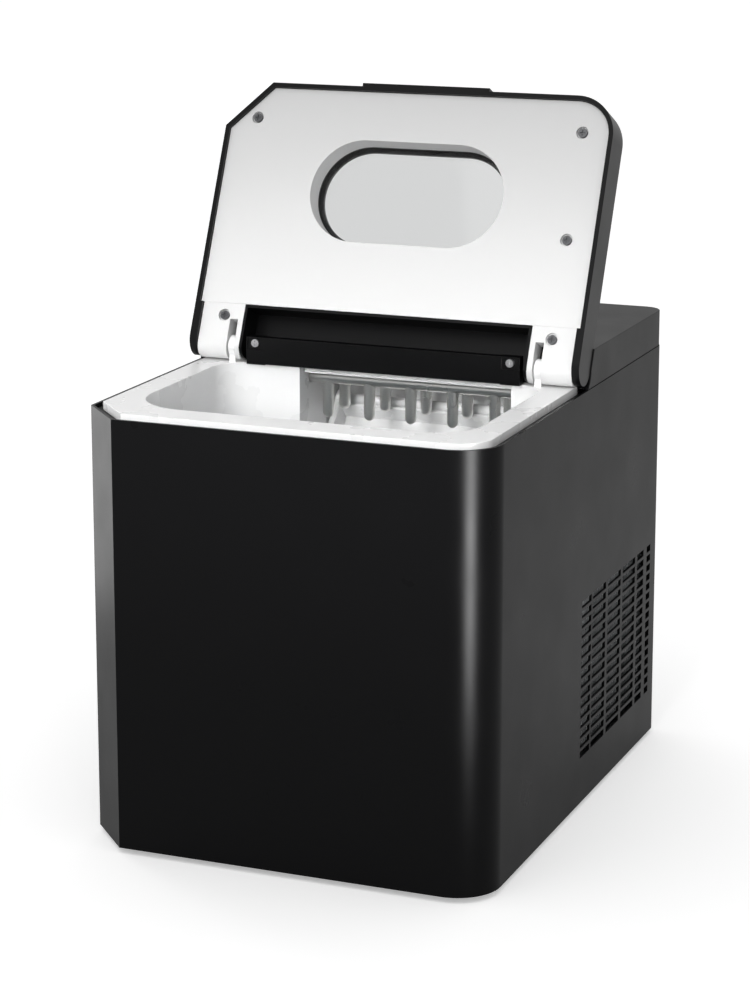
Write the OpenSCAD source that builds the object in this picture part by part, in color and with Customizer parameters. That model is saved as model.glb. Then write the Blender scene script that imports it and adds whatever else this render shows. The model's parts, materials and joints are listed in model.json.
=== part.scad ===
// Countertop bullet ice maker with its lid open.
// Origin: centre of the footprint on the floor. +X right, +Y back, +Z up. Millimetres.

/* [Cabinet] */
// Width of the cabinet
body_w = 290; // [250:1:350]
// Depth of the cabinet
body_d = 380; // [345:1:460]
// Height of the outer casing
casing_h = 292; // [285:1:350]
// Height of the feet under the casing
foot_h = 4; // [3:1:8]
// Thickness of the casing wall
casing_wall = 2; // [1.5:0.5:3]
// Front-left chamfer, along the width
chamfer_x = 32; // [20:1:45]
// Front-left chamfer, along the depth
chamfer_y = 34; // [20:1:45]
// Front-right corner radius
front_r = 30; // [20:1:45]
// Rear corner radius
rear_r = 14; // [8:1:20]
// Height of the raised rear deck
deck_h = 26; // [26:1:32]

/* [Tub] */
// Rim edge, in from the casing's outer face
rim_inset = 7.5; // [6:0.5:10]
// Rim height above the casing's top edge
rim_rise = 2.5; // [2:0.5:3]
// Width of the basin opening
basin_w = 238; // [220:1:244]
// Front edge of the basin, in from the casing front
basin_front = 32; // [26:1:45]
// Depth of the basin below the rim
basin_depth = 200; // [150:1:205]
// Wall thickness of the tub
tub_wall = 2.5; // [2:0.5:4]
// Width of the evaporator alcove
alcove_w = 156; // [150:1:170]
// Depth of the evaporator alcove
alcove_d = 78; // [74:1:84]

/* [Evaporator] */
// Diameter of one freezing finger
finger_d = 8; // [6:0.5:9]
// Length of one freezing finger
finger_l = 29; // [24:1:31]
// Spacing of the fingers along the width
finger_pitch = 31; // [26:1:31]
// Number of fingers in a row
finger_n = 5; // [3:1:5]

/* [Lid] */
// Opening angle of the lid
lid_open = 114.5; // [90:0.5:114.5]
// Diameter of the hinge pins
pin_d = 5; // [4:0.5:6]
// Diameter of the white hinge barrels
barrel_d = 19; // [17:0.5:19]
// Length of the window
window_w = 143; // [110:1:150]
// Height of the window
window_h = 74; // [50:1:80]

/* [Fits] */
// Running clearance of shafts and pins, on the radius
run_fit = 0.05; // [0.03:0.01:0.1]
// Clearance of a sliding or seated part
seat_fit = 0.5; // [0.3:0.1:0.8]

/* [Hidden] */
$fn = 64;
half_w = body_w / 2;
half_d = body_d / 2;
casing_top = foot_h + casing_h;
deck_top = casing_top + deck_h;
rim_top = casing_top + rim_rise;
pan_top = foot_h + 5;
// lid hinge axis, along X
hinge_y = 2;
hinge_z = deck_top - 13;
lid_inset = 1.3;
lid_bottom = casing_top + 0.9;
lid_round = (deck_top - lid_bottom) / 2;
lid_mid = (deck_top + lid_bottom) / 2;
liner_face = rim_top + 0.8;
roof_z = deck_top - 2.5;
ear_x = 113;
ear_w = 5;
pocket_x = 104;
barrel_end = half_w - 6.8;
// basin
basin_x = basin_w / 2;
basin_y0 = basin_front - half_d;
basin_y1 = 0;
basin_mid = (basin_y0 + basin_y1) / 2;
basin_z = rim_top - basin_depth;
// alcove
alcove_x = 15;
alcove_l = alcove_x - alcove_w / 2;
alcove_r = alcove_x + alcove_w / 2;
alcove_floor = 150;
shelf_z = casing_top - 3.5;
// evaporator
finger_x = alcove_x - 3;
tube_r = 4.5;
tube_z = shelf_z - tube_r;
row_y = [21, 51];
// water tray shaft
shaft_y = 68;
shaft_z = 262;
shaft_r = 4;
tray_tilt = 45;
tray_l = finger_x - finger_pitch * 2 - 8;
tray_r = finger_x + finger_pitch * 2 + 8;
// rear panel, sunk so that its screw heads stay inside the corners
rear_face = half_d - 2.2;
// pump riser and its spout over the tray
riser_x = 27;
spout_z = 279;
vent_pitch = 7.2;
vent_rows = 16;
vent_z = foot_h + 33;
// start and length of each column of side vent slots, from the middle of the cabinet
vent_columns = [[3, 21], [27, 30], [62, 30], [97, 30], [132, 16], [156, 9]];
rear_w = body_w - 2 * rear_r - 2 * seat_fit;
rim_rear = 7.4;
basin_round = [40, 30, 24];
cover_screw_x = 94;
cover_screw_z = hinge_z + 4.8;
deck_gap = 13.2;
button_x = [-40, 40];
button_y = 120;
tray_top = shaft_z + 7;
tray_base = tube_z - finger_l - 7;
tray_y0 = 8;
tray_y1 = 60.5;
basket_z = 150;
basket_top = 248;
basket_x = basin_x - 9;
pump_x = 80;
pump_y = -60;
drain_x = 60;
drain_z = 30;
comp_x = -58;
comp_y = 110;
comp_top = pan_top + 135;
cond_x0 = half_w - casing_wall - 26;
cond_x1 = half_w - casing_wall - 4;
fan_y = 82;
fan_z = 92;
cond_x = (cond_x0 + cond_x1) / 2;
cond_tube_r = 3;
shroud_x = cond_x0 - 19;
drier_x = 2;
drier_y = 170;
line_z = 200;
screw_spots = [[-121, 165], [121, 165], [121, 89]];
tail_s = 26;
window_s = 115;
head_sink = 2.6;
tab_reach = 5;

// ---------- shared shapes ----------

// One outer corner at (0,0) cut to radius r; the part lies towards -x, -y.
module corner_cut(r) {
  difference() {
    translate([-r, -r]) square(r + 5);
    translate([-r, -r]) circle(r);
  }
}

// Cabinet outline seen from above, moved in by i.
module footprint(i = 0) {
  slope = atan2(chamfer_y, chamfer_x);
  difference() {
    square([body_w - 2 * i, body_d - 2 * i], center = true);
    translate([-half_w, chamfer_y - half_d]) rotate(-slope) translate([-40, i - 80]) square([120, 80]);
    translate([half_w - i, i - half_d]) rotate(-90) corner_cut(front_r - i);
    translate([half_w - i, half_d - i]) corner_cut(rear_r - i);
    translate([i - half_w, half_d - i]) rotate(90) corner_cut(rear_r - i);
  }
}

// Rectangle centred at (0,0) with corner radii front-left, front-right, rear.
module tub_outline(w, d, fl, fr, rr) {
  difference() {
    square([w, d], center = true);
    translate([-w / 2, -d / 2]) rotate(180) corner_cut(fl);
    translate([w / 2, -d / 2]) rotate(-90) corner_cut(fr);
    translate([w / 2, d / 2]) corner_cut(rr);
    translate([-w / 2, d / 2]) rotate(90) corner_cut(rr);
  }
}

// Slot with fully round ends, centred.
module stadium(w, h) {
  square([w - h, h], center = true);
  for (s = [-1, 1]) translate([s * (w - h) / 2, 0]) circle(d = h);
}

module box(x0, x1, y0, y1, z0, z1) {
  translate([x0, y0, z0]) cube([x1 - x0, y1 - y0, z1 - z0]);
}

// Cylinder along X from x0 to x1 at (y, z).
module bar_x(x0, x1, y, z, r) {
  translate([x0, y, z]) rotate([0, 90, 0]) cylinder(h = x1 - x0, r = r);
}

// Cylinder along Y from y0 to y1 at (x, z).
module bar_y(y0, y1, x, z, r) {
  translate([x, y0, z]) rotate([-90, 0, 0]) cylinder(h = y1 - y0, r = r);
}

module post(x, y, z0, z1, r) {
  translate([x, y, z0]) cylinder(h = z1 - z0, r = r);
}

// Pan-head screw pointing along -Z with the underside of its head at the origin.
module screw(head_r, shank_r, shank_l) {
  difference() {
    cylinder(h = head_r * 0.7, r = head_r);
    translate([-head_r * 0.6, -0.4, head_r * 0.4]) cube([head_r * 1.2, 0.8, head_r]);
    translate([-0.4, -head_r * 0.6, head_r * 0.4]) cube([0.8, head_r * 1.2, head_r]);
  }
  translate([0, 0, -shank_l]) cylinder(h = shank_l, r = shank_r);
}

// Closed lid position to the open one.
module open_lid() {
  translate([0, hinge_y, hinge_z]) rotate([-lid_open, 0, 0]) translate([0, -hinge_y, -hinge_z]) children();
}

// Raised water tray position to the tipped one.
module tip_tray() {
  translate([0, shaft_y, shaft_z]) rotate([tray_tilt, 0, 0]) translate([0, -shaft_y, -shaft_z]) children();
}

// ---------- cabinet ----------

module base_pan() {
  color("dimgray") difference() {
    translate([0, 0, foot_h]) linear_extrude(14) footprint(casing_wall);
    translate([0, 0, pan_top]) linear_extrude(14) footprint(casing_wall + 2);
    // flat back edge for the rear panel
    box(-half_w, half_w, rear_face - 2, half_d + 1, foot_h - 1, foot_h + 15);
    for (p = foot_places()) post(p[0], p[1], foot_h - 1, pan_top + 1, 4);
    for (p = mount_places()) post(p[0], p[1], foot_h - 1, pan_top + 1, 3 + run_fit);
    // service holes under the compressor
    for (x = [-90:12:90]) translate([x, -60, foot_h - 1]) cube([5, 60, 8]);
  }
}

function foot_places() = [for (x = [-1, 1], y = [-1, 1]) [x * (half_w - 44), y * (half_d - 50)]];

module rubber_feet() {
  color("black") for (p = foot_places()) {
    post(p[0], p[1], 0, foot_h, 12);
    post(p[0], p[1], foot_h, pan_top, 4);
    post(p[0], p[1], pan_top, pan_top + 2, 6);
  }
}

module vent_slots() {
  for (c = vent_columns, k = [0:vent_rows - 1])
    translate([half_w - 8, c[0], vent_z + k * vent_pitch]) cube([16, c[1], 4.8]);
}

module casing() {
  color("#262626") difference() {
    translate([0, 0, foot_h]) linear_extrude(casing_h) difference() {
      footprint(0);
      footprint(casing_wall);
      // open back between the rear corners
      translate([rear_r - half_w, half_d - 10]) square([body_w - 2 * rear_r, 20]);
    }
    vent_slots();
  }
  // folded lips that the rear panel screws to
  color("#262626") for (s = [-1, 1]) difference() {
    x = s * (half_w - rear_r - 3);
    box(x - 7, x + 7, rear_face - 4, rear_face - 2, foot_h + 14, casing_top - 4);
    for (z = rear_screw_z()) bar_y(rear_face - 5, rear_face, x - s * 3, z, 1.6);
  }
}

function rear_screw_z() = [foot_h + 30, foot_h + casing_h / 2, casing_top - 30];

module rear_panel() {
  color("#202020") difference() {
    translate([-rear_w / 2, rear_face - 2, foot_h]) cube([rear_w, 2, casing_h - 1]);
    for (s = [-1, 1], z = rear_screw_z())
      bar_y(rear_face - 3, half_d, s * (half_w - rear_r - 6), z, 1.6);
    // exhaust slots
    for (x = [-60:14:80], z = [150:16:230]) translate([x, rear_face - 5, z]) cube([9, 8, 9]);
    // openings for the power inlet and the drain spout
    box(-101, -71, rear_face - 5, half_d, 36, 58);
    bar_y(rear_face - 5, half_d, drain_x, drain_z, 9);
  }
}

module rear_panel_screws() {
  color("silver") for (s = [-1, 1], z = rear_screw_z())
    translate([s * (half_w - rear_r - 6), rear_face, z]) rotate([-90, 0, 0]) screw(3, 1.6, 6);
}

module rim_gasket() {
  color("black") translate([0, 0, shelf_z - 3]) linear_extrude(rim_rise + 1.2) intersection() {
    difference() {
      footprint(casing_wall);
      footprint(rim_inset);
    }
    translate([-half_w, -half_d]) square([body_w, half_d + rim_rear]);
  }
}

// ---------- tub ----------

module basin_shape(grow) {
  translate([0, basin_mid]) tub_outline(basin_w + 2 * grow, basin_y1 - basin_y0 + 2 * grow,
    basin_round[0] + grow, basin_round[1] + grow, basin_round[2] + grow);
}

module tub() {
  color("white") difference() {
    union() {
      translate([0, 0, shelf_z - 3]) linear_extrude(rim_top - shelf_z + 3) intersection() {
        footprint(rim_inset);
        translate([-half_w, -half_d]) square([body_w, half_d + rim_rear]);
      }
      box(rim_inset + 6 - half_w, half_w - rim_inset - 6, 0, alcove_d + 10, shelf_z - 3, shelf_z);
      translate([0, 0, basin_z - tub_wall]) linear_extrude(shelf_z - basin_z) basin_shape(tub_wall);
      box(alcove_l - tub_wall, alcove_r + tub_wall, 0, alcove_d + tub_wall,
        alcove_floor - tub_wall, shelf_z - 1);
    }
    translate([0, 0, basin_z]) linear_extrude(basin_depth + 1) basin_shape(0);
    box(alcove_l, alcove_r, -tub_wall - 4, alcove_d, alcove_floor, rim_top + 1);
    for (s = [-1, 1]) box(s * ear_x - ear_w / 2, s * ear_x + ear_w / 2, -3.5, 5.5, shelf_z, rim_top + 1);
    bar_x(alcove_l - 5, alcove_r + 5, shaft_y, shaft_z, shaft_r + run_fit);
    // water inlet above the tray, and the drain
    bar_y(alcove_d - 1, alcove_d + 5, riser_x, spout_z, 5);
    post(pump_x, pump_y, basin_z - 5, basin_z + 1, 5);
    post(drain_x, -30, basin_z - 5, basin_z + 1, 5);
    // evaporator tube ends
    for (y = row_y) bar_x(alcove_l - 5, alcove_r + 5, y, tube_z, tube_r + seat_fit);
    box(alcove_r + tub_wall + 2, half_w - 20, 14, alcove_d + 11, shelf_z - 4, shelf_z + 1);
    box(alcove_l - 30, alcove_l - tub_wall - 2, 14, 60, shelf_z - 4, shelf_z + 1);
  }
  // ledges that carry the ice basket
  color("white") for (s = [-1, 1])
    box(s * basin_x - 14 * (s + 1) / 2, s * basin_x + 14 * (1 - s) / 2, -126, -40, basket_z - 8, basket_z);
}

module hinge_brackets() {
  color("white") for (s = [-1, 1]) difference() {
    union() {
      box(s * ear_x - ear_w / 2, s * ear_x + ear_w / 2, -3.5, 5.5, shelf_z, hinge_z);
      bar_x(s * ear_x - ear_w / 2, s * ear_x + ear_w / 2, hinge_y, hinge_z, 7.5);
    }
    bar_x(s * ear_x - 5, s * ear_x + 5, hinge_y, hinge_z, pin_d / 2 + run_fit);
  }
}

module hinge_cover() {
  color("#141414") difference() {
    union() {
      box(-101, 101, -6, -3, rim_top + 0.5, hinge_z + 9);
      box(-101, 101, -6, -0.5, hinge_z + 6.6, hinge_z + 9);
      for (s = [-1, 1]) box(s * cover_screw_x - 7, s * cover_screw_x + 7, -6, 1.5, rim_top, hinge_z + 9);
    }
    for (s = [-1, 1]) {
      box(s * cover_screw_x - 6.2, s * cover_screw_x + 6.2, -8, -5, cover_screw_z - 4.8, cover_screw_z + 3.6);
      bar_y(-7, 2, s * cover_screw_x, cover_screw_z, 1.5);
    }
  }
}

module hinge_cover_screws() {
  color("silver") for (s = [-1, 1])
    translate([s * cover_screw_x, -5, cover_screw_z]) rotate([90, 0, 0]) screw(2.8, 1.5, 6);
}

// ---------- deck and controls ----------

module deck() {
  color("#2c2c2c") difference() {
    translate([0, 0, casing_top]) linear_extrude(deck_h) intersection() {
      footprint(0.4);
      translate([-half_w, 0]) square([body_w, half_d]);
    }
    // hollow underside
    translate([0, 0, casing_top - 1]) linear_extrude(deck_h - 1.5) intersection() {
      footprint(3);
      translate([-half_w, 28]) square([body_w, half_d]);
    }
    // room for the turning lid, and its stop face
    bar_x(-half_w, half_w, hinge_y, hinge_z, 14.4);
    translate([-half_w, hinge_y, hinge_z]) rotate([-lid_open, 0, 0])
      translate([0, -80, -80]) cube([body_w, 92, 80 + deck_gap]);
    box(-half_w, half_w, -5, hinge_y + 1, casing_top - 1, deck_top + 1);
    // control window
    box(-70, 70, 95, 145, roof_z - 1, deck_top - 0.8);
    box(-71, 71, 94, 146, deck_top - 1.2, deck_top + 1);
    for (x = button_x) post(x, button_y, roof_z - 2, deck_top + 1, 7 + 0.1);
    for (x = [-15:15:15]) post(x, button_y, roof_z - 2, deck_top + 1, 2.5);
  }
}

module control_panel() {
  color("black") difference() {
    box(-70.8, 70.8, 94.2, 145.8, deck_top - 1.2, deck_top - 0.2);
    for (x = button_x) post(x, button_y, deck_top - 3, deck_top + 1, 7 + 0.1);
    for (x = [-15:15:15]) post(x, button_y, deck_top - 3, deck_top + 1, 2.5);
  }
}

module indicator_lenses() {
  color("lightblue") for (x = [-15:15:15]) post(x, button_y, deck_top - 14, deck_top - 0.4, 2.4);
}

module button(x) {
  post(x, button_y, deck_top - 8, deck_top + 0.6, 7);
  post(x, button_y, deck_top - 9.5, deck_top - 5, 8.5);
}

module power_button() { color("gray") button(button_x[0]); }
module select_button() { color("gray") button(button_x[1]); }

module control_board() {
  color("darkgreen") {
    box(-75, 75, 90, 150, deck_top - 15.6, deck_top - 14);
    for (x = button_x) box(x - 3, x + 3, 117, 123, deck_top - 14, deck_top - 11.5);
    for (s = [-1, 1], y = [93, 147]) post(s * 72, y, deck_top - 14, roof_z, 2.5);
    box(30, 60, 132, 144, deck_top - 24, deck_top - 15.6);
  }
}

// ---------- ice making ----------

module evaporator_tube() {
  color("#b87333") {
    for (y = row_y) bar_x(alcove_l - tub_wall - 4, alcove_r + tub_wall + 6, y, tube_z, tube_r);
    // return bend on the left
    translate([alcove_l - tub_wall - 4, (row_y[0] + row_y[1]) / 2, tube_z]) rotate([0, 0, 90])
      rotate_extrude(angle = 180) translate([(row_y[1] - row_y[0]) / 2, 0]) circle(tube_r);
  }
}

module evaporator_fingers() {
  color("silver") for (y = row_y, k = [0:finger_n - 1]) {
    x = finger_x + (k - (finger_n - 1) / 2) * finger_pitch;
    difference() {
      union() {
        post(x, y, tube_z - finger_l + finger_d / 2, tube_z, finger_d / 2);
        translate([x, y, tube_z - finger_l + finger_d / 2]) sphere(finger_d / 2);
      }
      bar_x(x - 10, x + 10, y, tube_z, tube_r);
    }
  }
}

module evaporator_bracket() {
  color("#ececec") difference() {
    box(alcove_l - 6, alcove_r + 6, 9, alcove_d + 6, shelf_z, shelf_z + 3);
    for (s = [-1, 1]) post(alcove_x + s * 74, 66, shelf_z - 1, shelf_z + 4, 2);
  }
}

module ice_sensor() {
  color("#303030") for (s = [-1, 1]) {
    x = s * basin_x;
    difference() {
      bar_x(x - 5, x + 5, -60, 262, 5);
      bar_x(s > 0 ? x : x - 6, s > 0 ? x + 6 : x, -60, 262, 6);
    }
  }
}

module water_tray() {
  color("#e8e8e8") tip_tray() difference() {
    union() {
      box(tray_l, tray_r, tray_y0, tray_y1, tray_base, tray_top);
      for (x = [tray_l, tray_r - 2]) {
        box(x, x + 2, tray_y1 - 6, shaft_y, shaft_z - 6, shaft_z + 6);
        bar_x(x, x + 2, shaft_y, shaft_z, 7.5);
      }
    }
    box(tray_l + 2, tray_r - 2, tray_y0 + 2, tray_y1 - 2, tray_base + 2, tray_top + 1);
    bar_x(tray_l - 1, tray_r + 1, shaft_y, shaft_z, shaft_r);
  }
}

module tray_shaft() {
  color("white") bar_x(alcove_l - tub_wall - 3, alcove_r + tub_wall + 5, shaft_y, shaft_z, shaft_r);
}

module ice_shovel() {
  y0 = shaft_y - 67;
  color("#dcdcdc") tip_tray() difference() {
    union() {
      box(tray_l - 3.5, tray_r + 3.5, y0, y0 + 3, shaft_z - 9, shaft_z + 7);
      for (x = [tray_l - 3.5, tray_r + 1]) {
        box(x, x + 2.5, y0, shaft_y, shaft_z - 5, shaft_z + 5);
        bar_x(x, x + 2.5, shaft_y, shaft_z, 7);
      }
    }
    for (k = [0:4]) box(tray_l + 8 + k * 28, tray_l + 22 + k * 28, y0 - 1, y0 + 4, shaft_z - 4, shaft_z + 8);
    bar_x(tray_l - 5, tray_r + 5, shaft_y, shaft_z, shaft_r + run_fit);
  }
}

module gear_motor() {
  x0 = alcove_r + tub_wall + 1;
  color("#a8a8a8") difference() {
    union() {
      box(x0, x0 + 18, shaft_y - 20, shaft_y + 20, shaft_z - 14, shaft_z + 14);
      bar_x(x0 + 18, x0 + 32, shaft_y, shaft_z, 12);
      for (s = [-1, 1]) box(x0 - 1, x0 + 1.5, shaft_y + s * 24 - 6, shaft_y + s * 24 + 6, shaft_z - 8, shaft_z + 8);
    }
    bar_x(x0 - 2, x0 + 6, shaft_y, shaft_z, shaft_r + run_fit);
  }
}

module ice_basket() {
  color("#dfe6ea") difference() {
    translate([0, 0, basket_z]) linear_extrude(basket_top - basket_z)
      translate([0, basin_mid]) tub_outline(2 * basket_x, 128, 34, 26, 18);
    translate([0, 0, basket_z + 2]) linear_extrude(basket_top)
      translate([0, basin_mid]) tub_outline(2 * basket_x - 4, 124, 32, 24, 16);
    // drain slots in the floor
    for (x = [-80:20:80], y = [-120:30:-60]) box(x - 4, x + 4, y, y + 18, basket_z - 1, basket_z + 3);
    // low edge at the back, and finger notches at the front
    box(-70, 86, basin_mid + 55, basin_mid + 70, basket_top - 30, basket_top + 1);
    for (s = [-1, 1]) box(s * 50 - 16, s * 50 + 16, basin_mid - 70, basin_mid - 58, basket_top - 26, basket_top - 10);
  }
}

// ---------- water ----------

module water_pump() {
  color("#2b2b2b") {
    post(pump_x, pump_y, basin_z - tub_wall - 40, basin_z - tub_wall - 12, 19);
    post(pump_x, pump_y, basin_z - tub_wall - 12, basin_z - tub_wall, 9);
    bar_y(pump_y + 15, pump_y + 30, pump_x, basin_z - tub_wall - 30, 4);
  }
}

// Quarter bend in the YZ plane, centred at (x, y, z), from angle a.
module bend_yz(x, y, z, r, tube, a) {
  translate([x, y, z]) rotate([90, 0, 90]) rotate([0, 0, a]) rotate_extrude(angle = 90)
    translate([r, 0]) circle(tube);
}

module water_tube() {
  z0 = basin_z - tub_wall - 30;
  y1 = alcove_d + tub_wall + 8;
  x = riser_x;
  top = spout_z - 6;
  color("#d9e4e6") {
    bar_y(pump_y + 30, y1 - 10, pump_x, z0, 3.5);
    translate([pump_x - 10, y1 - 10, z0]) rotate_extrude(angle = 90) translate([10, 0]) circle(3.5);
    bar_x(x + 10, pump_x - 10, y1, z0, 3.5);
    translate([x + 10, y1, z0 + 10]) rotate([90, 0, 0]) rotate([0, 0, 180])
      rotate_extrude(angle = 90) translate([10, 0]) circle(3.5);
    post(x, y1, z0 + 10, top, 3.5);
    bend_yz(x, y1 - 6, top, 6, 3.5, 0);
    bar_y(row_y[1] + 6, y1 - 6, x, spout_z, 3.5);
  }
}

module drain_spout() {
  color("#e0e0e0") difference() {
    union() {
      bar_y(-38, rear_face, drain_x, drain_z, 6);
      post(drain_x, -30, drain_z, basin_z - tub_wall, 6);
      bar_y(rear_face - 6, rear_face - 2, drain_x, drain_z, 11);
    }
    bar_y(rear_face - 24, half_d, drain_x, drain_z, 4.5);
  }
}

module drain_plug() {
  color("#303030") {
    bar_y(rear_face, rear_face + 2, drain_x, drain_z, 8);
    bar_y(rear_face - 20, rear_face, drain_x, drain_z, 3.6);
  }
}

module drain_seal() {
  color("black") translate([drain_x, rear_face - 12, drain_z]) rotate([90, 0, 0])
    rotate_extrude() translate([3.6, -1]) square([0.85, 2]);
}

// ---------- cooling ----------

function mount_places() = [for (a = [60, 180, 300]) [comp_x + 62 * cos(a), comp_y + 62 * sin(a)]];

module compressor() {
  base = pan_top + 12;
  color("#1c1c1c") {
    translate([comp_x, comp_y, base]) rotate_extrude() polygon([[0, 0], [52, 0],
      [52, 82], [46, 96], [34, 106], [16, 112], [0, 113]]);
    difference() {
      union() for (p = mount_places())
        translate([comp_x, comp_y, base - 3]) rotate(atan2(p[1] - comp_y, p[0] - comp_x))
          translate([0, -9, 0]) cube([71, 18, 3]);
      for (p = mount_places()) post(p[0], p[1], base - 6, base + 6, 5);
    }
    post(comp_x + 20, comp_y, comp_top - 26, comp_top, 5);
    post(comp_x - 20, comp_y + 20, comp_top - 30, comp_top, 4.5);
  }
}

module compressor_grommets() {
  color("black") for (p = mount_places()) difference() {
    union() {
      post(p[0], p[1], pan_top, pan_top + 9, 8);
      post(p[0], p[1], pan_top + 9, pan_top + 14, 5);
    }
    post(p[0], p[1], pan_top - 1, pan_top + 15, 3);
  }
}

module compressor_bolts() {
  color("silver") for (p = mount_places()) {
    post(p[0], p[1], foot_h + 1, pan_top + 14, 3);
    translate([p[0], p[1], pan_top + 14]) cylinder(h = 4, r = 6, $fn = 6);
  }
}

module condenser() {
  color("silver") difference() {
    union() {
      for (y = [4:4:160]) box(cond_x0, cond_x1, y, y + 0.8, pan_top + 12, 160);
      for (z = [pan_top + 10, 160]) box(cond_x0, cond_x1, 0, 164.8, z, z + 2);
      for (y = [0, 163.3]) box(cond_x0, cond_x1, y, y + 1.5, pan_top + 10, 162);
      for (y = [20, 140]) box(cond_x0, cond_x1, y, y + 12, pan_top, pan_top + 10);
    }
    for (k = [0:5]) bar_y(-1, 166, cond_x, tube_row(k), cond_tube_r + run_fit);
  }
}

// Height of one run of the condenser's tube.
function tube_row(k) = pan_top + 28 + k * 22;

module condenser_tubes() {
  color("#b87333") for (k = [0:5]) {
    bar_y(-5, 169, cond_x, tube_row(k), cond_tube_r);
    if (k < 5) translate([cond_x, k % 2 == 0 ? 169 : -5, tube_row(k) + 11]) rotate([0, 90, 0])
      rotate([0, 0, k % 2 == 0 ? 0 : 180]) rotate_extrude(angle = 180) translate([11, 0]) circle(cond_tube_r);
  }
}

module fan_shroud() {
  color("#3a3a3a") difference() {
    union() {
      box(shroud_x, shroud_x + 18, fan_y - 62, fan_y + 62, fan_z - 62, fan_z + 62);
      box(shroud_x, cond_x0, fan_y - 30, fan_y + 30, pan_top, fan_z - 60);
    }
    bar_x(shroud_x - 1, shroud_x + 20, fan_y, fan_z, 57);
  }
}

module fan_motor() {
  color("#6a6a6a") {
    bar_x(shroud_x - 28, shroud_x - 2, fan_y, fan_z, 20);
    bar_x(shroud_x - 2, shroud_x + 12, fan_y, fan_z, 2.5);
    // bracket arms to the shroud
    difference() {
      for (a = [45, 135]) translate([shroud_x - 3, fan_y, fan_z]) rotate([a, 0, 0])
        translate([0, -66, -5]) cube([3, 132, 10]);
      bar_x(shroud_x - 4, shroud_x + 1, fan_y, fan_z, 8);
    }
  }
}

module fan_blades() {
  color("#505050") difference() {
    union() {
      bar_x(shroud_x + 1.5, shroud_x + 15, fan_y, fan_z, 14);
      for (a = [0:72:288]) translate([shroud_x + 8, fan_y, fan_z]) rotate([a, 0, 0])
        translate([0, 0, 12]) rotate([0, 0, 32]) translate([-0.8, -11, 0]) cube([1.6, 22, 40]);
    }
    bar_x(shroud_x, shroud_x + 20, fan_y, fan_z, 2.5 + run_fit);
  }
}

module filter_drier() {
  color("#b87333") translate([drier_x, drier_y, 70]) rotate_extrude() polygon([[0, 0], [4, 0],
    [9, 8], [9, 78], [4, 86], [0, 86]]);
}

module gas_valve() {
  color("#8a8f94") {
    box(38, 62, 118, 142, line_z + 3, line_z + 22);
    post(50, 130, line_z + 22, line_z + 34, 6);
  }
}

// Quarter bend in the XY plane, centred at (x, y, z), from angle a.
module bend_xy(x, y, z, r, tube, a) {
  translate([x, y, z]) rotate([0, 0, a]) rotate_extrude(angle = 90) translate([r, 0]) circle(tube);
}

// Quarter bend in the XZ plane, centred at (x, y, z), from angle a.
module bend_xz(x, y, z, r, tube, a) {
  translate([x, y, z]) rotate([90, 0, 0]) rotate([0, 0, a]) rotate_extrude(angle = 90)
    translate([r, 0]) circle(tube);
}

module suction_line() {
  x0 = alcove_r + tub_wall + 6;
  y = row_y[1];
  r = 4;
  color("#b87333") {
    bend_xy(x0, y + 10, tube_z, 10, r, 270);
    bar_y(y + 10, comp_y - 10, x0 + 10, tube_z, r);
    bend_xy(x0, comp_y - 10, tube_z, 10, r, 0);
    bar_x(comp_x + 30, x0, comp_y, tube_z, r);
    bend_xz(comp_x + 30, comp_y, tube_z - 10, 10, r, 90);
    post(comp_x + 20, comp_y, comp_top, tube_z - 10, r);
  }
}

module discharge_line() {
  x = cond_x;
  y = comp_y + 20;
  z = tube_row(5);
  r = cond_tube_r;
  color("#b87333") {
    bend_yz(x, -5, z + 10, 10, r, 180);
    post(x, -15, z + 10, line_z - 10, r);
    bend_yz(x, -5, line_z - 10, 10, r, 90);
    bar_y(-5, y - 10, x, line_z, r);
    bend_xy(x - 10, y - 10, line_z, 10, r, 0);
    bar_x(comp_x - 10, x - 10, y, line_z, r);
    bend_xz(comp_x - 10, y, line_z - 10, 10, r, 90);
    post(comp_x - 20, y, comp_top, line_z - 10, r);
  }
}

module power_board() {
  color("darkgreen") {
    box(-134, -132.4, 40, 130, 190, 270);
    for (y = [46, 124], z = [196, 264]) bar_x(casing_wall - half_w, -134, y, z, 3);
    box(-132.4, -112, 60, 90, 205, 235);
    box(-132.4, -118, 100, 118, 240, 256);
  }
}

module power_inlet() {
  color("#101010") {
    difference() {
      union() {
        box(-100.5, -71.5, rear_face - 20, rear_face, 36.5, 57.5);
        box(-104, -68, rear_face, rear_face + 1.8, 33, 61);
      }
      box(-98, -74, rear_face - 16, half_d + 1, 39, 55);
    }
    for (x = [-92, -86, -80]) box(x - 1, x + 1, rear_face - 17, rear_face - 4, 44, 50);
  }
}

// ---------- lid, drawn closed and then turned open ----------

// Side profile of the lid in the YZ plane, full round at the back, moved in by i.
module lid_profile(i) {
  translate([lid_inset + i - half_d, lid_bottom + i])
    square([half_d - lid_inset - i - 2, deck_top - lid_bottom - 2 * i]);
  translate([-2, lid_mid]) circle(lid_round - i);
}

module along_x(x0, x1) {
  translate([x0, 0, 0]) rotate([90, 0, 90]) linear_extrude(x1 - x0) children();
}

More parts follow.
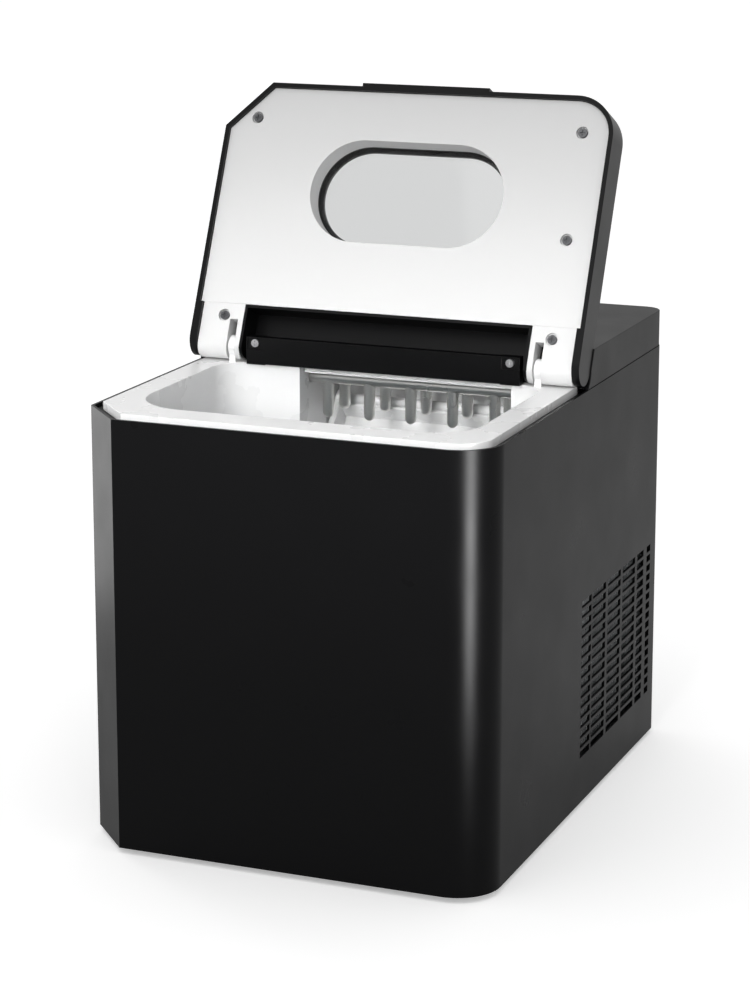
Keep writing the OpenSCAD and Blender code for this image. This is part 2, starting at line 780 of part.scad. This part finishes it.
module lid_shell() {
  color("#202020") open_lid() {
    difference() {
      intersection() {
        along_x(-half_w, half_w) lid_profile(0);
        translate([0, 0, lid_bottom - 1]) linear_extrude(deck_h + 2) footprint(lid_inset);
      }
      // room for the liner, in front of the pocket
      translate([0, 0, lid_bottom - 1]) linear_extrude(roof_z - lid_bottom + 1) intersection() {
        footprint(lid_inset + 3.2);
        translate([-half_w, -half_d]) square([body_w, half_d + hinge_y - tail_s - 2]);
      }
      // pocket round the hinge cover
      box(-pocket_x, pocket_x, hinge_y - tail_s, hinge_y + 20, lid_bottom - 1, hinge_z + 4.5);
      intersection() {
        along_x(-pocket_x, pocket_x) lid_profile(2.5);
        box(-pocket_x, pocket_x, hinge_y - tail_s, hinge_y + 20, lid_bottom - 1, deck_top);
      }
      // clear of the tub's rim when closed
      box(-barrel_end, barrel_end, hinge_y - tail_s - 3, hinge_y + 20, lid_bottom - 1, liner_face - 0.1);
      // barrels
      for (s = [-1, 1]) {
        x0 = s > 0 ? pocket_x + 2 : -barrel_end;
        x1 = s > 0 ? barrel_end : -pocket_x - 2;
        box(x0, x1, hinge_y - tail_s - 3, hinge_y, lid_bottom - 1, roof_z);
        box(x0, x1, hinge_y - 1, hinge_y + 20, lid_bottom - 1, deck_top + 1);
      }
      translate([0, hinge_y - window_s, roof_z - 1]) linear_extrude(5) stadium(window_w - 6, window_h - 6);
    }
    // handle tab
    box(-47.5, 47.5, lid_inset - half_d - tab_reach, lid_inset - half_d, lid_bottom + 8, deck_top - 1);
    // screw bosses
    for (p = screw_spots) difference() {
      post(p[0], hinge_y - p[1], liner_face + 5, roof_z, 5);
      post(p[0], hinge_y - p[1], liner_face + 3, roof_z - 2, 1.6);
    }
  }
}

module lid_liner() {
  color("#f2f2f2") open_lid() difference() {
    union() {
      translate([0, 0, liner_face]) linear_extrude(2.5) intersection() {
        footprint(lid_inset + 3.4);
        translate([-half_w, -half_d]) square([body_w, half_d + hinge_y - tail_s - 2.2]);
      }
      // cups for the screw heads
      for (p = screw_spots) post(p[0], hinge_y - p[1], liner_face, liner_face + 5, 6);
      // window tube
      translate([0, hinge_y - window_s, liner_face]) linear_extrude(roof_z - liner_face - 4.2)
        stadium(window_w + 5, window_h + 5);
      // hinge barrels
      for (s = [-1, 1]) {
        x0 = s > 0 ? pocket_x + 2.2 : 0.2 - barrel_end;
        x1 = s > 0 ? barrel_end - 0.2 : -pocket_x - 2.2;
        bar_x(x0, x1, hinge_y, hinge_z, barrel_d / 2);
        box(x0, x1, hinge_y - tail_s - 2.5, hinge_y, liner_face + 0.2, hinge_z + 5);
      }
    }
    translate([0, hinge_y - window_s, liner_face - 1]) linear_extrude(30) stadium(window_w, window_h);
    for (p = screw_spots) {
      post(p[0], hinge_y - p[1], liner_face - 1, liner_face + 6, 1.8);
      post(p[0], hinge_y - p[1], liner_face - 1, liner_face + head_sink, 4.4);
    }
    for (s = [-1, 1]) {
      post(s * 121, hinge_y - 19.5, liner_face - 1, hinge_z + 6, 1.8);
      post(s * 121, hinge_y - 19.5, liner_face - 1, liner_face + head_sink, 4.4);
      box(s * ear_x - ear_w / 2 - 0.5, s * ear_x + ear_w / 2 + 0.5, hinge_y - 17, hinge_y + 12,
        liner_face - 1, hinge_z + 11);
      bar_x(s > 0 ? pocket_x + 1 : -126, s > 0 ? 126 : -pocket_x - 1, hinge_y, hinge_z, pin_d / 2 + 0.01);
    }
  }
}

module lid_window() {
  color("azure", 0.4) open_lid() translate([0, hinge_y - window_s, roof_z - 3]) linear_extrude(3)
    stadium(window_w + 4, window_h + 4);
}

module window_gasket() {
  color("black") open_lid() translate([0, hinge_y - window_s, roof_z - 4.2]) linear_extrude(1.2)
    difference() {
      stadium(window_w + 4, window_h + 4);
      stadium(window_w - 1, window_h - 1);
    }
}

module lid_screws() {
  color("silver") open_lid() {
    for (p = screw_spots) translate([p[0], hinge_y - p[1], liner_face + head_sink])
      rotate([180, 0, 0]) screw(3.2, 1.6, 12);
    for (s = [-1, 1]) translate([s * 121, hinge_y - 19.5, liner_face + head_sink])
      rotate([180, 0, 0]) screw(3.2, 1.6, 12);
  }
}

module hinge_pins() {
  color("silver") open_lid() for (s = [-1, 1])
    bar_x(s > 0 ? pocket_x + 2.2 : -125, s > 0 ? 125 : -pocket_x - 2.2, hinge_y, hinge_z, pin_d / 2);
}

base_pan();
rubber_feet();
casing();
rear_panel();
rear_panel_screws();
rim_gasket();
tub();
hinge_brackets();
hinge_cover();
hinge_cover_screws();
deck();
control_panel();
control_board();
power_button();
select_button();
indicator_lenses();
evaporator_tube();
evaporator_fingers();
evaporator_bracket();
ice_sensor();
water_tray();
tray_shaft();
ice_shovel();
gear_motor();
ice_basket();
water_pump();
water_tube();
drain_spout();
drain_plug();
drain_seal();
compressor();
compressor_grommets();
compressor_bolts();
condenser();
condenser_tubes();
fan_shroud();
fan_motor();
fan_blades();
filter_drier();
gas_valve();
suction_line();
discharge_line();
power_board();
power_inlet();
lid_shell();
lid_liner();
lid_window();
window_gasket();
lid_screws();
hinge_pins();
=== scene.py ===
# %% [markdown]
# # Countertop ice maker
# A black bullet-ice maker with its lid open. The CAD frame gives every part its place. This lesson gives each
# part a procedural material, swaps a few hard-edged shells for ones with soft edges, lights it as a product
# picture and places the camera. Lengths are in metres, with +Z up and the floor at zero.

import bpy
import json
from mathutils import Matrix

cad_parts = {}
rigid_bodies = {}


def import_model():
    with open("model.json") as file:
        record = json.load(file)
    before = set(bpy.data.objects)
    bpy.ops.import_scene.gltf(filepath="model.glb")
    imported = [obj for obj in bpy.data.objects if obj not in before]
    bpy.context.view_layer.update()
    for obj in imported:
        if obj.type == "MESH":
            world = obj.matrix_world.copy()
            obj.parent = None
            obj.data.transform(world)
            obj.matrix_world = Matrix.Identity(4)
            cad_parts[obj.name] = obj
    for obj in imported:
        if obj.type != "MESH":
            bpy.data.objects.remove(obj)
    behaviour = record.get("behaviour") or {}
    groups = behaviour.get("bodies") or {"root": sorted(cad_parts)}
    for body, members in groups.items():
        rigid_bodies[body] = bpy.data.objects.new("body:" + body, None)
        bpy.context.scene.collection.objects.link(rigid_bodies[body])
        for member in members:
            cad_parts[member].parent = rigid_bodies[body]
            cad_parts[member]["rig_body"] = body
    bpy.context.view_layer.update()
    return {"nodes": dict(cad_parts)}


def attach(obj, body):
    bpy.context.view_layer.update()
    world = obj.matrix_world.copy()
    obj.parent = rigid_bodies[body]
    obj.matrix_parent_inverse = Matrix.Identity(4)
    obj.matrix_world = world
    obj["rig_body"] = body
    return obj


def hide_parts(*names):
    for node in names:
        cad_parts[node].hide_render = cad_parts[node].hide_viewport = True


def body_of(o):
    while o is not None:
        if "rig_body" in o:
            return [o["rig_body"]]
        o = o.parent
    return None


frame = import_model()

# %% Tools
import math
import bmesh
import bpy
from mathutils import Vector

MM = 0.001
NODES = frame["nodes"]


def linear(hex_colour):
    """An sRGB hex colour as linear RGBA."""
    parts = [int(hex_colour[i:i + 2], 16) / 255 for i in (1, 3, 5)]
    return [c / 12.92 if c <= 0.04045 else ((c + 0.055) / 1.055) ** 2.4 for c in parts] + [1.0]


def add(tree, kind, inputs=None, **settings):
    """Adds one shader node. An input's value may be a number, a colour or another node's output."""
    made = tree.nodes.new(kind)
    for name, value in settings.items():
        setattr(made, name, value)
    for name, value in (inputs or {}).items():
        socket = made.inputs[name]
        if isinstance(value, bpy.types.NodeSocket):
            tree.links.new(value, socket)
        else:
            socket.default_value = value
    return made


# %% [markdown]
# ## One recipe for every finish
# A moulded, painted or plated surface is never one flat tone. It has a fine relief from its mould or its coat, and
# its gloss and colour drift slowly from place to place. Picture textures could show that, but they need unwrapped
# meshes and files. Two noise patterns on Object coordinates do the same from real lengths in millimetres, and they
# stay put on the part when it moves. Reliefs finer than the eye can see here are drawn a little coarser.

# %% One recipe for every finish
DRIFT_MM = 45  # the size of the slow patches of gloss and colour


def surface(name, colour, rough, grain_mm, relief_mm, drift, tint, **shader):
    """A finish: colour, roughness give or take drift, a relief of the given grain and height, and a tone that
    darkens by the share tint. Further shader values go on the Principled shader's own sockets."""
    mat = bpy.data.materials.new(name)
    mat.use_nodes = True
    tree = mat.node_tree
    bsdf = tree.nodes["Principled BSDF"]
    place = add(tree, "ShaderNodeTexCoord").outputs["Object"]
    fine = add(tree, "ShaderNodeTexNoise", {"Vector": place, "Scale": 1 / (grain_mm * MM), "Detail": 2.0})
    slow = add(tree, "ShaderNodeTexNoise", {"Vector": place, "Scale": 1 / (DRIFT_MM * MM), "Detail": 4.0})
    gloss = add(tree, "ShaderNodeMapRange", {"Value": slow.outputs["Fac"], "From Min": 0.3, "From Max": 0.7,
        "To Min": max(rough - drift, 0.02), "To Max": rough + drift})
    base = linear(colour)
    tone = add(tree, "ShaderNodeMix", {"Factor": slow.outputs["Fac"]}, data_type="RGBA")
    tone.inputs[6].default_value = [c * (1 - tint) for c in base[:3]] + [1.0]
    tone.inputs[7].default_value = base
    relief = add(tree, "ShaderNodeBump",
        {"Height": fine.outputs["Fac"], "Strength": 0.5, "Distance": relief_mm * MM})
    tree.links.new(tone.outputs[2], bsdf.inputs["Base Color"])
    tree.links.new(gloss.outputs["Result"], bsdf.inputs["Roughness"])
    tree.links.new(relief.outputs["Normal"], bsdf.inputs["Normal"])
    for key, value in shader.items():
        bsdf.inputs[key.replace("_", " ")].default_value = value
    return mat


# %% [markdown]
# ## Blacks
# The casing is folded sheet steel with a powder coat, and the lid and the rear deck are moulded ABS. Black parts
# show only what they reflect. The studio round them is whiter than any kitchen, so their specular level is set
# below the usual 0.5: at 0.5 they would look grey, not black.

# %% Blacks
# powder coat: an even satin with a very fine orange peel, which blurs the studio into soft bands
casing_paint = surface("satin black powder coat", "#111112", 0.3, 0.35, 0.012, 0.03, 0.1, Specular_IOR_Level=0.06)
# spark-eroded mould texture: duller than the paint, so that the deck's top reads as dark grey
deck_abs = surface("satin black ABS", "#0b0b0c", 0.42, 0.4, 0.015, 0.03, 0.1, Specular_IOR_Level=0.2)
# finer mould texture: a deeper black with a slight sheen on the lid and on the hinge cover
black_abs = surface("black ABS", "#060607", 0.34, 0.5, 0.01, 0.03, 0.1, Specular_IOR_Level=0.22)
# rubber: no clear reflection, only a dull edge
soft_rubber = surface("black rubber", "#0c0c0c", 0.7, 0.6, 0.03, 0.05, 0.1, IOR=1.52)
# stoved enamel: thick and glossy with a visible peel
enamel = surface("black enamel", "#161617", 0.25, 1.2, 0.03, 0.06, 0.1, IOR=1.5)
# polished back-printed sheet: a near mirror
gloss_panel = surface("gloss black panel", "#0a0a0b", 0.12, 1.0, 0.002, 0.03, 0.1, IOR=1.5)
print(len(bpy.data.materials), "materials so far")

# %% [markdown]
# ## Whites and greys
# The tub is polished ABS, because ice and water must not cling to it. The lid's liner has a satin mould finish,
# so light fades softly across it. The liner's colour is greyer than the tub's white, and that grey is painted shade.

# %% Whites and greys
# polished mould: clean highlights along the rim and on the hinge barrels
white_abs = surface("gloss white ABS", "#efefef", 0.28, 0.8, 0.006, 0.04, 0.02, IOR=1.53)
# satin mould with no sharp reflection; its grey, darker than the tub's white, is painted shade
liner_abs_with_painted_shade = surface("satin white ABS with painted shade", "#dadada", 0.4, 0.6, 0.008, 0.04, 0.02, IOR=1.53)
# button caps: plain mid grey
grey_abs = surface("grey ABS", "#9a9b9c", 0.42, 0.5, 0.012, 0.04, 0.05, IOR=1.53)
print(len(bpy.data.materials), "materials so far")

# %% [markdown]
# ## Metals
# Metals keep the shader's own IOR. They differ in colour, in how much they blur, and in how patchy they are.

# %% Metals
# plated copper: bright silver with a slightly wavy blur
nickel = surface("nickel plate", "#ebebe8", 0.32, 0.7, 0.012, 0.08, 0.15, Metallic=1.0)
# bare screw heads: darker than the white round them
dark_steel = surface("nickel plated screw steel", "#6f7072", 0.3, 0.4, 0.006, 0.06, 0.1, Metallic=1.0)
zinc = surface("zinc plated steel", "#d6d6d8", 0.28, 0.4, 0.006, 0.06, 0.1, Metallic=1.0)
# drawn tube: warm, with dull patches where it has tarnished
copper = surface("copper tube", "#c47a52", 0.3, 0.8, 0.01, 0.1, 0.25, Metallic=1.0)
# rolled fin stock: pale, with a soft blur
aluminium = surface("mill finish aluminium", "#cfd1d3", 0.34, 0.5, 0.01, 0.08, 0.1, Metallic=1.0)
# hot-dip zinc: large uneven grey patches
grey_steel = surface("galvanised steel", "#84878a", 0.45, 3.0, 0.01, 0.12, 0.3, Metallic=0.9)
print(len(bpy.data.materials), "materials so far")

# %% [markdown]
# ## Clear and coloured parts
# The pane and the basket let light through. The pane is a solid slab, so plain transmission with acrylic's IOR
# is right for it. The basket is cloudy, so only a part of its light passes.

# %% Clear and coloured parts
# basket: a milky wall with a faint blue cast
frosted = surface("frosted polypropylene", "#dfe5e8", 0.45, 0.8, 0.015, 0.05, 0.03, IOR=1.49, Transmission_Weight=0.35)
# circuit board lacquer
board = surface("green solder mask", "#14512c", 0.3, 2.0, 0.02, 0.08, 0.3, IOR=1.5)
# indicator lights, unlit
lens = surface("clear blue lens", "#a9cfe6", 0.15, 1.0, 0.002, 0.03, 0.05, IOR=1.49)
# water hose: pale and slightly greasy
hose = surface("silicone hose", "#dde6e8", 0.35, 1.0, 0.01, 0.05, 0.05, IOR=1.41)
# window pane: clear, with a bright edge
acrylic = surface("clear acrylic", "#fbfcfc", 0.04, 2.0, 0.001, 0.02, 0.01, IOR=1.49, Transmission_Weight=1.0)
print(len(bpy.data.materials), "materials")

# %% [markdown]
# ## Finishes on the CAD parts
# The base pan is galvanised, the cooling tubes are copper and the fins are aluminium, as in any small cooler. Each
# CAD part keeps its own mesh: only its material changes.

# %% Finishes on the CAD parts
FINISH = {
    casing_paint: ["casing", "rear_panel"],
    deck_abs: ["deck"],
    black_abs: ["hinge_cover", "lid_shell", "fan_shroud", "fan_blades", "water_pump", "power_inlet",
        "ice_sensor", "drain_plug"],
    white_abs: ["tub", "hinge_brackets", "water_tray", "ice_shovel", "drain_spout", "tray_shaft", "evaporator_bracket"],
    # the lid liner's finish has its grey tone as painted shade
    liner_abs_with_painted_shade: ["lid_liner"],
    soft_rubber: ["rubber_feet", "rim_gasket", "window_gasket", "compressor_grommets", "drain_seal"],
    dark_steel: ["lid_screws"],
    zinc: ["rear_panel_screws", "hinge_cover_screws", "compressor_bolts", "hinge_pins"],
    nickel: ["evaporator_fingers", "evaporator_tube"],
    copper: ["condenser_tubes", "filter_drier", "suction_line", "discharge_line"],
    aluminium: ["condenser", "gas_valve"],
    grey_steel: ["base_pan", "fan_motor", "gear_motor"],
    grey_abs: ["power_button", "select_button"],
    enamel: ["compressor"],
    frosted: ["ice_basket"],
    board: ["control_board", "power_board"],
    gloss_panel: ["control_panel"],
    lens: ["indicator_lenses"],
    hose: ["water_tube"],
    acrylic: ["lid_window"],
}
for material, names in FINISH.items():
    for name in names:
        mesh = NODES[name].data
        mesh.materials.clear()
        mesh.materials.append(material)
bare = sorted(n for n, o in NODES.items() if not o.data.materials)
print("parts with no finish:", bare)

# %% [markdown]
# ## Soft edges
# Moulded plastic and painted steel never end in a perfectly sharp edge. The narrow round along each edge catches
# the light as a thin bright line. The edges could be rounded by hand in new meshes, but the shells would then
# drift from their CAD sizes. Instead each big shell is copied, its triangles are joined into flat faces, and a
# Bevel modifier rounds only the edges that are sharper than 30 degrees. It cuts inwards, so no shell grows.

# %% Soft edges
SAME_POINT_MM = 0.002
SAME_PLANE = math.radians(0.6)
SHARP = math.radians(30)


def softened(node, width_mm):
    """A copy of a CAD part with its sharp edges rounded to the given width. It stands in for the part."""
    source = NODES[node]
    mesh = source.data.copy()
    work = bmesh.new()
    work.from_mesh(mesh)
    bmesh.ops.remove_doubles(work, verts=work.verts, dist=SAME_POINT_MM * MM)
    bmesh.ops.dissolve_limit(work, angle_limit=SAME_PLANE, verts=work.verts, edges=work.edges)
    for face in work.faces:
        face.smooth = True
    work.to_mesh(mesh)
    work.free()
    made = bpy.data.objects.new("soft_" + node, mesh)
    bpy.context.collection.objects.link(made)
    edge = made.modifiers.new("rounded edges", "BEVEL")
    edge.width = width_mm * MM
    edge.segments = 3
    edge.limit_method = "ANGLE"
    edge.angle_limit = SHARP
    edge.use_clamp_overlap = True
    flat = made.modifiers.new("flat faces stay flat", "WEIGHTED_NORMAL")
    flat.weight = 100
    flat.keep_sharp = True
    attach(made, body_of(source)[0])
    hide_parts(node)
    return made


# the bevel's width on each shell, in millimetres
SOFT_EDGES = {"casing": 0.7, "deck": 1.6, "lid_shell": 1.2, "lid_liner": 0.8, "tub": 1.2, "hinge_cover": 0.6,
    "hinge_brackets": 0.5, "rim_gasket": 0.5, "rear_panel": 0.3, "ice_basket": 0.6, "water_tray": 0.5}
soft = {node: softened(node, width) for node, width in SOFT_EDGES.items()}

# %% [markdown]
# ## Floor and world
# The floor is matt white like a paper sweep, under an even white world. Both look white to the camera but are
# dimmer in reflections: the Light Path node tells the two apart. Otherwise the black paint would turn grey. The
# plain view transform keeps white white and black black.

# %% Floor and world
FLOOR_GLOW = 0.36  # added only where the camera sees the floor directly
WORLD_LIGHT, WORLD_SEEN = 0.68, 1.04
WHITE = (1, 1, 1, 1)

bpy.ops.mesh.primitive_plane_add(size=80)
floor = bpy.context.object
floor.name = "floor"
floor_paint = bpy.data.materials.new("matt white floor")
floor_paint.use_nodes = True
tree = floor_paint.node_tree
paper = tree.nodes["Principled BSDF"]
paper.inputs["Base Color"].default_value = WHITE
paper.inputs["Roughness"].default_value = 0.9
paper.inputs["Emission Color"].default_value = WHITE
seen = add(tree, "ShaderNodeLightPath").outputs["Is Camera Ray"]
lift = add(tree, "ShaderNodeMapRange", {"Value": seen, "To Max": FLOOR_GLOW})
tree.links.new(lift.outputs["Result"], paper.inputs["Emission Strength"])
floor.data.materials.append(floor_paint)

world = bpy.data.worlds.new("pale studio")
bpy.context.scene.world = world
world.use_nodes = True
backdrop = world.node_tree.nodes["Background"]
backdrop.inputs["Color"].default_value = WHITE
seen = add(world.node_tree, "ShaderNodeLightPath").outputs["Is Camera Ray"]
glow = add(world.node_tree, "ShaderNodeMapRange", {"Value": seen, "To Min": WORLD_LIGHT, "To Max": WORLD_SEEN})
world.node_tree.links.new(glow.outputs["Result"], backdrop.inputs["Strength"])
bpy.context.scene.view_settings.view_transform = "Standard"
print("floor", round(floor.dimensions.x), "m wide")

# %% [markdown]
# ## Lights
# A wide softbox in front and above gives the top edges their light lines. A low fill reaches over the rim into
# the tub and the freezing fingers, and casts no reflection. A strip near the front right corner stands where that
# round corner mirrors it, and puts a soft bright band down it without lighting the whites. A last faint strip
# lifts the front left chamfer.

# %% Lights
def soft_light(name, place, aim, width, height, power, fan=180):
    """A rectangular area light at place, pointing at aim. A fan under 180 degrees works like a honeycomb grid."""
    data = bpy.data.lights.new(name, "AREA")
    data.shape = "RECTANGLE"
    data.size = width
    data.size_y = height
    data.energy = power
    data.spread = math.radians(fan)
    made = bpy.data.objects.new(name, data)
    bpy.context.collection.objects.link(made)
    made.location = place
    made.rotation_euler = (Vector(aim) - Vector(place)).to_track_quat("-Z", "Y").to_euler()
    made.visible_camera = False
    return made


soft_light("top softbox", (0.1, -1.1, 1.6), (0, 0, 0.2), 1.4, 1.4, 4)
fill = soft_light("alcove fill", (0.0, -0.85, 0.55), (0.012, 0.06, 0.26), 0.5, 0.25, 0.34, fan=26)
fill.visible_glossy = False
band = soft_light("corner strip", (0.54, -0.55, 0.15), (0.13, -0.18, 0.27), 0.28, 0.3, 0.9, fan=34)
band.visible_diffuse = False
soft_light("chamfer strip", (-0.62, 0.12, 0.2), (-0.13, -0.17, 0.15), 0.15, 0.4, 0.1, fan=60)
print(len(bpy.data.lights), "lights")

# %% [markdown]
# ## Camera
# The camera stands about 2 m away, to the front right, and looks down a little. A long lens keeps the machine's edges
# nearly parallel, and a small shift centres it in the frame without tilting the camera.

# %% Camera
yaw, pitch = 0.3835, 0.2149  # radians: to the left of straight ahead, and down
look = Vector((-math.sin(yaw) * math.cos(pitch), math.cos(yaw) * math.cos(pitch), -math.sin(pitch)))
camera_data = bpy.data.cameras.new("camera")
camera_data.sensor_width = 36
camera_data.lens = 102.2
camera_data.shift_y = -0.1
camera = bpy.data.objects.new("camera", camera_data)
bpy.context.collection.objects.link(camera)
camera.location = (0.711, -1.778, 0.6975)
camera.rotation_euler = look.to_track_quat("-Z", "Y").to_euler()
bpy.context.scene.camera = camera
